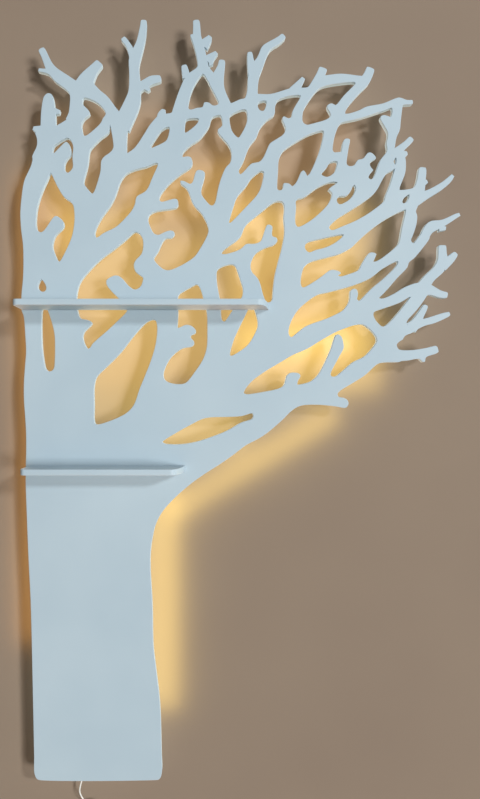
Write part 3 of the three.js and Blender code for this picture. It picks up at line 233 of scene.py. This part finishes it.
def pale_floor():
    n = Nodes("pale_floor")
    n.set(Base_Color=n.ramp(n.noise(5, 3), [(0.3, linear(218, 210, 198)), (0.7, linear(225, 217, 205))]))
    n.set(Roughness=0.7)
    return clear_from_behind(n)


MATERIALS = {
    "board_paint": painted_board(),
    "timber": sawn_timber(),
    "steel": zinc_steel(),
    "aluminium": satin_aluminium(),
    "led": glowing("led_strip", linear(255, 214, 140), 6.0),
    "diffuser": glowing("opal_diffuser", linear(255, 222, 160), 2.5),
    "white_plastic": moulded_plastic("white_plastic", (226, 225, 220), (234, 233, 229), 0.4),
    "white_cord": moulded_plastic("white_cord", (229, 228, 223), (238, 237, 233), 0.48),
    "grey_plastic": moulded_plastic("grey_plastic", (122, 125, 128), (134, 137, 140), 0.42),
}

# ---------------------------------------------------------------- riding on the frame

RECORD = frame["record"]
SLOT_OF = {part["node"]: part["material_slot"] for part in RECORD["subparts"]}
BODY_OF = {node: body for body, nodes in RECORD["behaviour"]["bodies"].items() for node in nodes}


def show(obj, *nodes):
    """Stands obj in for CAD nodes: it takes their body, their slot and that slot's material."""
    slot = SLOT_OF[nodes[0]]
    obj.data.materials.clear()
    obj.data.materials.append(MATERIALS[slot])
    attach(obj, BODY_OF[nodes[0]])
    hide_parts(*nodes)
    return obj


def link(name, data):
    obj = bpy.data.objects.new(name, data)
    bpy.context.collection.objects.link(obj)
    return obj


def merged(mesh, distance):
    """A mesh opened for editing, with vertices closer than distance made one."""
    bm = bmesh.new()
    bm.from_mesh(mesh)
    bmesh.ops.remove_doubles(bm, verts=bm.verts, dist=distance)
    return bm


def from_bmesh(name, bm, sharp=math.radians(35)):
    bmesh.ops.recalc_face_normals(bm, faces=bm.faces)
    mesh = bpy.data.meshes.new(name)
    bm.to_mesh(mesh)
    bm.free()
    mesh.shade_smooth()
    mesh.set_sharp_from_angle(angle=sharp)
    return link(name, mesh)


# ---------------------------------------------------------------- cord, coil, switch and adaptor

CORD_DIAMETER = 4.0
CORD_UPPER = [
    (-46, -36, 53), (-46, -36, 30), (-46, -32, 8), (-49, -29, -14), (-55, -27, -36), (-58, -26, -56),
    (-54, -22, -72), (-49, -16, -86), (-46, -14, -95), (-46, -14, -99),
]
CORD_LOWER = [(-46, -14, -147), (-46, -14, -159), (-46, -14, -189), (-46, -14, -214)]
COIL_CENTRE = (-22, -14, -123)
COIL_TURN = 24.0
STRANDS_AROUND = 7  # the coil's turns: one in the middle of the bundle and these round it
STRAND_RING = 4.62
SAMPLES_PER_TURN = 36
CROSSING = 0.28  # the last share of a turn, in which the cord crosses to the next turn's seat


def spline_points(points, step):
    """Even points along a centripetal Catmull-Rom curve through the given points."""
    points = [Vector(p) for p in points]
    ends = [2 * points[0] - points[1], *points, 2 * points[-1] - points[-2]]
    out = []
    for p0, p1, p2, p3 in zip(ends, ends[1:], ends[2:], ends[3:]):
        pieces = max(1, math.ceil((p2 - p1).length / step))
        out += [catmull(p0, p1, p2, p3, k / pieces) for k in range(pieces)]
    return [*out, points[-1]]


def catmull(p0, p1, p2, p3, share):
    """A point on the centripetal Catmull-Rom curve from p1 to p2."""
    t0 = 0.0
    t1 = t0 + max((p1 - p0).length, 1e-9) ** 0.5
    t2 = t1 + max((p2 - p1).length, 1e-9) ** 0.5
    t3 = t2 + max((p3 - p2).length, 1e-9) ** 0.5
    t = t1 + share * (t2 - t1)
    a1 = p0 * ((t1 - t) / (t1 - t0)) + p1 * ((t - t0) / (t1 - t0))
    a2 = p1 * ((t2 - t) / (t2 - t1)) + p2 * ((t - t1) / (t2 - t1))
    a3 = p2 * ((t3 - t) / (t3 - t2)) + p3 * ((t - t2) / (t3 - t2))
    b1 = a1 * ((t2 - t) / (t2 - t0)) + a2 * ((t - t0) / (t2 - t0))
    b2 = a2 * ((t3 - t) / (t3 - t1)) + a3 * ((t - t1) / (t3 - t1))
    return b1 * ((t2 - t) / (t2 - t1)) + b2 * ((t - t1) / (t2 - t1))


def coil_points():
    """The spare cord's turns, each in its own place in the bundle, starting at the coil's left."""
    def seat(turn):
        if turn == 0:
            return (0.0, 0.0)
        angle = 2 * math.pi * (turn - 1) / STRANDS_AROUND
        return (STRAND_RING * math.cos(angle), STRAND_RING * math.sin(angle))

    points = []
    turns = STRANDS_AROUND + 1
    for turn in range(turns):
        here, after = seat(turn), seat(turn + 1 if turn + 1 < turns else turn)
        for k in range(SAMPLES_PER_TURN):
            share = k / SAMPLES_PER_TURN
            cross = min(1.0, max(0.0, (share - (1 - CROSSING)) / CROSSING))
            cross = cross * cross * (3 - 2 * cross)
            radial = here[0] + (after[0] - here[0]) * cross
            sideways = here[1] + (after[1] - here[1]) * cross
            angle = math.pi + 2 * math.pi * share
            radius = COIL_TURN + radial
            offset = Vector((radius * math.cos(angle), sideways, radius * math.sin(angle)))
            points.append(Vector(COIL_CENTRE) + offset)
    return points


def make_cord():
    upper = spline_points(CORD_UPPER, step=3)
    lower = spline_points(CORD_LOWER, step=6)
    route = [at(*p) for p in [*upper, *coil_points(), *lower]]
    curve = bpy.data.curves.new("low_voltage_cord", "CURVE")
    curve.dimensions = "3D"
    curve.bevel_depth = CORD_DIAMETER / 2 * MM
    curve.bevel_resolution = 4
    curve.use_fill_caps = True
    line = curve.splines.new("POLY")
    line.points.add(len(route) - 1)
    for point, place in zip(line.points, route):
        point.co = (*place, 1)
    cord = link("low_voltage_cord", curve)
    show(cord, "cord_lead_upper", "cord_coil", "cord_lead_middle", "cord_lead_lower")
    length = sum((b - a).length for a, b in zip(route, route[1:]))
    return cord, length


# ---------------------------------------------------------------- boards with eased edges

def outline_loops(node, axis, high):
    """The closed loops round a board's flat face: the face at one end of the given axis."""
    bm = merged(frame["nodes"][node].data, 1e-5)
    bm.normal_update()
    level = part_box(node)[1 if high else 0][axis]
    plane = [i for i in range(3) if i != axis]

    def on_face(face):
        return abs(face.normal[axis]) > 0.99 and abs(face.calc_center_median()[axis] - level) < 1e-5

    after = {}
    for face in filter(on_face, bm.faces):
        for loop in face.loops:
            others = [f for f in loop.edge.link_faces if f is not face]
            if not any(on_face(f) for f in others):
                after[loop.vert] = loop.link_loop_next.vert
    loops = []
    while after:
        start, here = next(iter(after.items()))
        points = [start]
        del after[start]
        while here is not start:
            points.append(here)
            here = after.pop(here)
        loops.append([Vector((v.co[plane[0]], v.co[plane[1]])) for v in points])
    bm.free()
    return loops


def turn_at(before, here, after):
    return abs((here - before).angle_signed(after - here, 0.0))


def smooth_outline(points, step=4.5 * MM, corner=math.radians(62), straight=math.radians(1.5)):
    """Fills a loop's gentle bends with curve points, and leaves its corners and straight runs alone."""
    count = len(points)
    turns = [turn_at(points[i - 1], points[i], points[(i + 1) % count]) for i in range(count)]
    out = []
    for i in range(count):
        j = (i + 1) % count
        p1, p2 = points[i], points[j]
        if turns[i] < straight and turns[j] < straight:
            out.append(p1)
            continue
        p0 = points[i - 1] if turns[i] < corner else 2 * p1 - p2
        p3 = points[(j + 1) % count] if turns[j] < corner else 2 * p2 - p1
        pieces = max(1, round((p2 - p1).length / step))
        out += [catmull(p0, p1, p2, p3, k / pieces) for k in range(pieces)]
    return out


def signed_area(loop):
    return 0.5 * sum(a.x * b.y - b.x * a.y for a, b in zip(loop, loop[1:] + loop[:1]))


def inward(loop, distance):
    """The loop moved into the board's material, which lies on its left."""
    out = []
    for i, here in enumerate(loop):
        back = (here - loop[i - 1]).normalized()
        ahead = (loop[(i + 1) % len(loop)] - here).normalized()
        side = Vector((-back.y - ahead.y, back.x + ahead.x))
        if side.length < 0.2:
            side = Vector((-ahead.y, ahead.x))
        side.normalize()
        reach = max(0.5, abs(side.dot(Vector((-ahead.y, ahead.x)))))
        out.append(here + side * (distance / reach))
    return out


def eased_board(name, loops, low, high, place, ease=1.1 * MM, pits=()):
    """A flat board with rounded edges. place turns a point (u, v, height) into a row place.

    pits are (centre, [(radius, depth), ...]) for sunk holes in the face at the high end."""
    loops = sorted(loops, key=lambda loop: -abs(signed_area(loop)))
    outer = loops[0] if signed_area(loops[0]) > 0 else loops[0][::-1]
    holes = [loop if signed_area(loop) < 0 else loop[::-1] for loop in loops[1:]]
    bm = bmesh.new()
    quarter = (0, math.pi / 6, math.pi / 3, math.pi / 2)
    profile = [(ease * (1 - math.sin(a)), ease * (1 - math.cos(a))) for a in quarter]
    levels = [(inset, low + depth) for inset, depth in profile]
    levels += [(inset, high - depth) for inset, depth in reversed(profile)]
    caps = {0: [], len(levels) - 1: []}
    sharp = []
    for loop in [outer, *holes]:
        rings = []
        for number, (inset, height) in enumerate(levels):
            flat = inward(loop, inset) if inset else loop
            ring = [bm.verts.new(place(p.x, p.y, height)) for p in flat]
            rings.append(ring)
            if number in caps:
                caps[number].append((flat, ring))
        for first, second in zip(rings, rings[1:]):
            join_rings(bm, first, second)
        sharp += [rings[0], rings[-1]]
    pit_loops = [sink_pit(bm, centre, steps, high, place) for centre, steps in pits]
    fill_cap(bm, caps[0], [])
    fill_cap(bm, caps[len(levels) - 1], pit_loops)
    obj = from_bmesh(name, bm)
    mark_flat_faces(obj.data)
    return obj


def join_rings(bm, first, second):
    for i in range(len(first)):
        j = (i + 1) % len(first)
        bm.faces.new((first[i], first[j], second[j], second[i]))


def sink_pit(bm, centre, steps, level, place, sides=28):
    """A round sunk hole. Returns its mouth as a flat loop and a ring of vertices."""
    mouth = None
    last = None
    for radius, depth in steps:
        flat = [centre + Vector((radius * math.cos(a), radius * math.sin(a)))
                for a in (2 * math.pi * k / sides for k in range(sides))]
        ring = [bm.verts.new(place(p.x, p.y, level - depth)) for p in flat]
        if last:
            join_rings(bm, last, ring)
        else:
            mouth = (flat, ring)
        last = ring
    bm.faces.new(last)
    return mouth


def fill_cap(bm, outlines, pits):
    """Closes a flat face inside its outline and round its holes and pits."""
    points, verts, faces = [], [], []
    for flat, ring in [*outlines, *pits]:
        face = list(range(len(points), len(points) + len(flat)))
        faces.append(face if signed_area(flat) > 0 else face[::-1])
        points += flat
        verts += ring
    _, _, triangles, original, _, sources = delaunay_2d_cdt(points, [], faces, 1, 1e-7)
    back = [source[0] if source else None for source in original]
    for triangle, source in zip(triangles, sources):
        if any(face > 0 for face in source) or not source:
            continue
        corners = [verts[back[i]] for i in triangle]
        if len(set(corners)) == 3 and bm.faces.get(corners) is None:
            bm.faces.new(corners)


def mark_flat_faces(mesh):
    """Keeps shading on the two flat faces flat right up to their rounded edges."""
    bm = bmesh.new()
    bm.from_mesh(mesh)
    bm.normal_update()
    for edge in bm.edges:
        if len(edge.link_faces) != 2:
            continue
        first, second = edge.link_faces
        if len(first.verts) != len(second.verts):
            edge.smooth = False
    bm.to_mesh(mesh)
    bm.free()


# The sunk hole for a shelf screw, as (radius, depth) from its mouth to its bottom.
SCREW_PIT = [(4.48 * MM, 0), (4.3 * MM, 0.5 * MM), (2.6 * MM, 4.2 * MM), (2.6 * MM, 7 * MM)]


def tree_panel():
    low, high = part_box("tree_panel")
    loops = [smooth_outline(loop) for loop in outline_loops("tree_panel", 1, False)]
    pits = []
    for node in SLOT_OF:
        if "shelf_screw" in node:
            head_low, head_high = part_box(node)
            middle = (Vector(head_low) + Vector(head_high)) / 2
            pits.append((Vector((middle.x, middle.z)), SCREW_PIT))
    board = eased_board("tree_panel_board", loops, low[1], high[1], lambda u, v, h: (u, h, v), pits=pits)
    show(board, "tree_panel")


def shelf(node):
    low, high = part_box(node)
    loops = outline_loops(node, 2, True)
    board = eased_board(node + "_board", loops, low[2], high[2], lambda u, v, h: (u, v, h))
    show(board, node)


# ---------------------------------------------------------------- turned and machined pieces

def lathe(name, profile, axis, base, sides=40, shape=None):
    """A turned solid. profile is (radius, distance along axis from base); shape bends a ring's radius."""
    axis = Vector(axis).normalized()
    first = axis.orthogonal().normalized()
    second = axis.cross(first)
    bm = bmesh.new()
    rings = []
    for number, (radius, distance) in enumerate(profile):
        centre = Vector(base) + axis * distance
        if radius < 1e-7:
            rings.append([bm.verts.new(centre)])
            continue
        ring = []
        for k in range(sides):
            angle = 2 * math.pi * k / sides
            reach = radius * (shape(number, angle) if shape else 1)
            outwards = first * math.cos(angle) + second * math.sin(angle)
            ring.append(bm.verts.new(centre + outwards * reach))
        rings.append(ring)
    for here, after in zip(rings, rings[1:]):
        if len(here) == 1:
            for k in range(sides):
                bm.faces.new((here[0], after[k], after[(k + 1) % sides]))
        elif len(after) == 1:
            for k in range(sides):
                bm.faces.new((here[k], here[(k + 1) % sides], after[0]))
        else:
            join_rings(bm, here, after)
    return from_bmesh(name, bm)


def close_seam(obj):
    """Joins the first and last rings of a turned piece whose profile ends where it starts."""
    bm = merged(obj.data, 1e-7)
    bm.to_mesh(obj.data)
    bm.free()


def cross_recess(number, angle):
    """Narrows the recess's rings between the four wings of a cross-head driver."""
    if number not in (1, 2):
        return 1
    wing = abs(math.cos(2 * angle)) ** 6
    return 0.38 + 0.62 * wing


def screw(node):
    """A countersunk wood screw with a cross recess, and separate ridges for its thread."""
    low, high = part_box(node)
    x, z = (low[0] + high[0]) / 2, (low[2] + high[2]) / 2
    towards_wall = "wall_screw" in node
    head_y = low[1] if towards_wall else high[1]
    tip_y = high[1] if towards_wall else low[1]
    length = abs(tip_y - head_y)
    head = (high[0] - low[0]) / 2
    shank = head / 1.9
    profile = [(0, 0.45 * head), (0.2 * head, 0.42 * head), (0.55 * head, 0)]
    profile += [(0.96 * head, 0), (head, 0.06 * head)]
    profile += [(shank * 1.02, 0.92 * head), (shank * 0.98, 0.3 * length)]
    pitch = 2.6 * MM
    start, end = 0.34 * length, length - 3.2 * shank
    for k in range(int((end - start) / pitch)):
        place = start + k * pitch
        profile += [(shank * 0.74, place), (shank * 0.98, place + 0.35 * pitch)]
        profile += [(shank * 0.74, place + 0.7 * pitch)]
    profile += [(shank * 0.6, length - 1.5 * shank), (0.12 * shank, length - 0.1 * shank)]
    profile += [(0, length)]
    way = 1 if towards_wall else -1
    show(lathe(node + "_turned", profile, (0, way, 0), (x, head_y, z), 32, cross_recess), node)


def spacer(node):
    """A round block cut from dowel, its rims chamfered."""
    low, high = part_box(node)
    radius = (high[0] - low[0]) / 2
    depth = high[1] - low[1]
    ease = 1.2 * MM
    profile = [(0, 0), (radius - ease, 0), (radius - 0.3 * ease, 0.3 * ease), (radius, ease)]
    profile += [(radius, depth - ease), (radius - 0.3 * ease, depth - 0.3 * ease)]
    profile += [(radius - ease, depth), (0, depth)]
    base = ((low[0] + high[0]) / 2, low[1], (low[2] + high[2]) / 2)
    show(lathe(node + "_turned", profile, (0, 1, 0), base, 48), node)


def strain_relief(node, upwards):
    """A soft tapered sleeve with moulded ribs round the cord."""
    low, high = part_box(node)
    wide = (high[0] - low[0]) / 2
    narrow = 0.72 * wide
    length = high[2] - low[2]
    bore = (CORD_DIAMETER / 2 + 0.15) * MM
    profile = [(bore, 0), (wide, 0)]
    ribs = 5
    for k in range(ribs):
        share = (k + 0.5) / ribs
        radius = wide + (narrow - wide) * share
        start = (0.08 + 0.84 * k / ribs) * length
        profile += [(radius, start), (radius, start + 0.09 * length), (0.86 * radius, start + 0.11 * length)]
        profile += [(0.86 * radius, start + 0.15 * length)]
    profile += [(narrow, 0.95 * length), (narrow - 0.4 * MM, length), (bore, length), (bore, 0)]
    way = 1 if upwards else -1
    base = ((low[0] + high[0]) / 2, (low[1] + high[1]) / 2, low[2] if upwards else high[2])
    sleeve = lathe(node + "_ribbed", profile, (0, 0, way), base, 32)
    close_seam(sleeve)
    show(sleeve, node)


def machined(node, ease, segments=3):
    """A CAD piece with its flat faces made whole and its edges eased."""
    bm = merged(frame["nodes"][node].data, 1e-6)
    bmesh.ops.dissolve_limit(bm, angle_limit=math.radians(1), verts=bm.verts, edges=bm.edges)
    obj = from_bmesh(node + "_eased", bm)
    bevel = obj.modifiers.new("eased_edges", "BEVEL")
    bevel.width = ease
    bevel.segments = segments
    bevel.limit_method = "ANGLE"
    bevel.angle_limit = math.radians(40)
    bevel.harden_normals = True
    return show(obj, node)


def led_strip(node, pitch=16.6 * MM):
    """A flexible printed strip with a square LED chip and two solder pads at each step."""
    low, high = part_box(node)
    middle = (low[0] + high[0]) / 2
    tape = 0.35 * (high[1] - low[1])
    bm = bmesh.new()
    add_box(bm, (low[0], low[1], low[2]), (high[0], low[1] + tape, high[2]))
    steps = int((high[2] - low[2]) / pitch)
    chip = 2.5 * MM
    pad = 0.8 * MM
    for k in range(steps):
        z = low[2] + (k + 0.5) * (high[2] - low[2]) / steps
        add_box(bm, (middle - chip, low[1] + tape, z - chip), (middle + chip, high[1], z + chip))
        for side in (-1, 1):
            x = middle + side * 1.6 * MM
            pad_low = (x - pad, low[1] + tape, z + 5 * MM)
            pad_high = (x + pad, low[1] + 1.3 * tape, z + 7 * MM)
            add_box(bm, pad_low, pad_high)
    show(from_bmesh(node + "_chips", bm), node)


BOX_FACES = ((0, 1, 3, 2), (4, 6, 7, 5), (0, 4, 5, 1), (2, 3, 7, 6), (0, 2, 6, 4), (1, 5, 7, 3))


def add_box(bm, low, high):
    corners = []
    for x in (low[0], high[0]):
        for y in (low[1], high[1]):
            corners += [bm.verts.new((x, y, z)) for z in (low[2], high[2])]
    for face in BOX_FACES:
        bm.faces.new([corners[i] for i in face])


def coil_tie():
    """A flat strap round the coil's bundle, thinner at its two rims."""
    low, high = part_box("coil_tie")
    centre = (Vector(low) + Vector(high)) / 2
    inner = (high[0] - low[0]) / 2 - 1 * MM
    half = (high[2] - low[2]) / 2
    rim, middle = inner + 0.5 * MM, inner + 0.9 * MM
    profile = [(inner, -half), (rim, -half), (middle, -0.8 * half), (middle, 0.8 * half)]
    profile += [(rim, half), (inner, half), (inner, -half)]
    strap = lathe("coil_strap", profile, (0, 0, 1), centre, 48)
    close_seam(strap)
    return show(strap, "coil_tie")


def link_wire(node):
    """The wire between two light bars, its sides smoothed."""
    bm = merged(frame["nodes"][node].data, 1e-6)
    obj = from_bmesh(node + "_smooth", bm, math.radians(60))
    show(obj, node)


# ---------------------------------------------------------------- room and light

def stage_plane(name, corners, material):
    """A flat part of the room. It casts no shadow, so that lights beyond it reach the tree."""
    mesh = bpy.data.meshes.new(name)
    mesh.from_pydata(corners, [], [(0, 1, 2, 3)])
    mesh.materials.append(material)
    plane = link(name, mesh)
    plane.visible_shadow = False
    return plane


# The room's reach in metres, and its gaps from the tree.
ROOM_LEFT = -5.0
ROOM_RIGHT = 5.5
ROOM_TOP = 3.2
FLOOR_NEAR = -7.0
FLOOR_FAR = 5
WALL_GAP = 1.5 * MM
FLOOR_GAP = 0.08


def room():
    """A plain wall just behind the cleats and a pale floor below the cord's end.

    The wall gives no diffuse light back: wall_bounce in room_lights stands in for that."""
    floor = cad_box[0].z - FLOOR_GAP
    low_left, low_right = (ROOM_LEFT, WALL_GAP, floor), (ROOM_RIGHT, WALL_GAP, floor)
    top_left, top_right = (ROOM_LEFT, WALL_GAP, ROOM_TOP), (ROOM_RIGHT, WALL_GAP, ROOM_TOP)
    wall = stage_plane("wall", [low_left, low_right, top_right, top_left], wall_paint())
    wall.visible_diffuse = False
    near_left, near_right = (ROOM_LEFT, FLOOR_NEAR, floor), (ROOM_RIGHT, FLOOR_NEAR, floor)
    far_left, far_right = (ROOM_LEFT, FLOOR_FAR, floor), (ROOM_RIGHT, FLOOR_FAR, floor)
    stage_plane("floor", [near_left, near_right, far_right, far_left], pale_floor())


def area_light(name, place, target, size, power, color, size_y=None):
    data = bpy.data.lights.new(name, "AREA")
    data.energy = power
    data.color = color
    data.size = size
    if size_y:
        data.shape = "RECTANGLE"
        data.size_y = size_y
    light = link(name, data)
    light.location = place
    light.rotation_euler = (Vector(target) - Vector(place)).to_track_quat("-Z", "Y").to_euler()
    return light


BRIGHT = (1.0, 0.86, 0.25)
GOLD = (1.0, 0.77, 0.2)
DIM = (1.0, 0.54, 0.08)
# The glow on the wall is made by these lights and not by the modelled light bars. Each was placed,
# sized and coloured to match a glowing patch in the photo, and some are where there is no bar. They
# are stage lights, so they stay where they are when the tree is lifted. Each has x, z, width and
# height in tree millimetres, tilt in degrees, power per square metre, and colour.
GLOWS = {
    "crown_low": (60, 1150, 230, 330, 0, 4.3, BRIGHT),
    "crown_left": (20, 1460, 250, 300, 0, 4.9, BRIGHT),
    "crown_edge": (-115, 1600, 80, 260, 0, 5, GOLD),
    "left_slot": (-140, 1250, 40, 260, 0, 5.5, GOLD),
    "crown_middle": (245, 1330, 160, 420, 0, 3.8, BRIGHT),
    "crown_high": (265, 1660, 400, 170, 0, 3.4, GOLD),
    "crown_right": (565, 1400, 410, 440, 0, 5.3, BRIGHT),
    "crown_far": (600, 1180, 420, 200, 0, 5.6, BRIGHT),
    "crown_haze": (280, 1500, 900, 800, 0, 1.3, DIM),
    "bough": (270, 975, 290, 130, 0, 6.3, BRIGHT),
    "bough_edge": (436, 878, 560, 62, 31, 8, BRIGHT),
    "trunk_right": (178, 485, 90, 640, 0, 8.2, BRIGHT),
    "trunk_left": (-208, 1030, 50, 1350, 0, 6, DIM),
}


GLOW_Y = -44  # between the wall and the back of the panel, in tree millimetres
TO_WALL = Vector((0, 1, 0))


def glow_lights():
    for name, (x, z, width, height, tilt, strength, color) in GLOWS.items():
        place = at(x, GLOW_Y, z)
        target = place + TO_WALL
        power = strength * width * height * MM * MM
        light = area_light("glow_" + name, place, target, width * MM, power, color, height * MM)
        light.rotation_euler.rotate_axis("Z", math.radians(tilt))
        light.visible_camera = False


def sun_light(name, direction, power, spread, color):
    data = bpy.data.lights.new(name, "SUN")
    data.energy = power
    data.angle = math.radians(spread)
    data.color = color
    light = link(name, data)
    light.rotation_euler = Vector(direction).to_track_quat("-Z", "Y").to_euler()


def room_lights():
    """A window high on the right, a sun from the front as fill, and three stand-ins: warm light
    up off the floor, light off the wall onto the tree's back, and a sun from behind, for the
    rear views, which comes through the wall."""
    area_light("window", (9.2, -12.0, 5.2), (0.2, 0, 0.2), 1.5, 960, (0.95, 0.99, 1.0))
    sun_light("fill", (-0.75, 1.0, 0.1), 1.86, 15, (0.96, 0.99, 1.0))
    sun_light("floor_bounce", (0.0, 0.02, 1.0), 0.85, 8, (1.0, 0.36, 0.1))
    sun_light("rear", (0.35, -1.0, -0.05), 0.8, 40, (1.0, 0.97, 0.92))
    place, target = at(340, -3, 1030), at(340, -100, 1030)
    bounce = area_light("wall_bounce", place, target, 1.2, 7.6, (1.0, 0.88, 0.66), 2.1)
    bounce.visible_camera = False
    world = bpy.data.worlds.new("studio")
    world.use_nodes = True
    background = world.node_tree.nodes["Background"].inputs
    background["Color"].default_value = (1.0, 0.97, 0.95, 1)
    background["Strength"].default_value = 0.2
    bpy.context.scene.world = world
    bpy.context.scene.view_settings.view_transform = "Standard"


# ---------------------------------------------------------------- the whole scene

make_camera()
cord, cord_length = make_cord()
tree_panel()
shelf("upper_shelf")
shelf("lower_shelf")
for node in SLOT_OF:
    if "_screw_" in node:
        screw(node)
    elif node.startswith("spacer_"):
        spacer(node)
    elif node.endswith("_cleat"):
        machined(node, 0.8 * MM)
    elif node.startswith(("light_channel_", "light_diffuser_")):
        machined(node, 0.25 * MM, 2)
    elif node.startswith("led_strip_"):
        led_strip(node)
    elif node.startswith("link_wire_"):
        link_wire(node)
machined("light_box", 0.5 * MM)
machined("light_box_lid", 0.6 * MM)
strain_relief("box_strain_relief", False)
strain_relief("adaptor_strain_relief", True)
tie = coil_tie()
ON_CORD = ["switch_bottom", "switch_top", "switch_rocker", "adaptor_front", "adaptor_back"]
on_cord = [machined(node, 0.5 * MM) for node in ON_CORD]
on_cord += [machined(node, 0.5 * MM) for node in ("adaptor_pin_1", "adaptor_pin_2")]
room()
glow_lights()
room_lights()
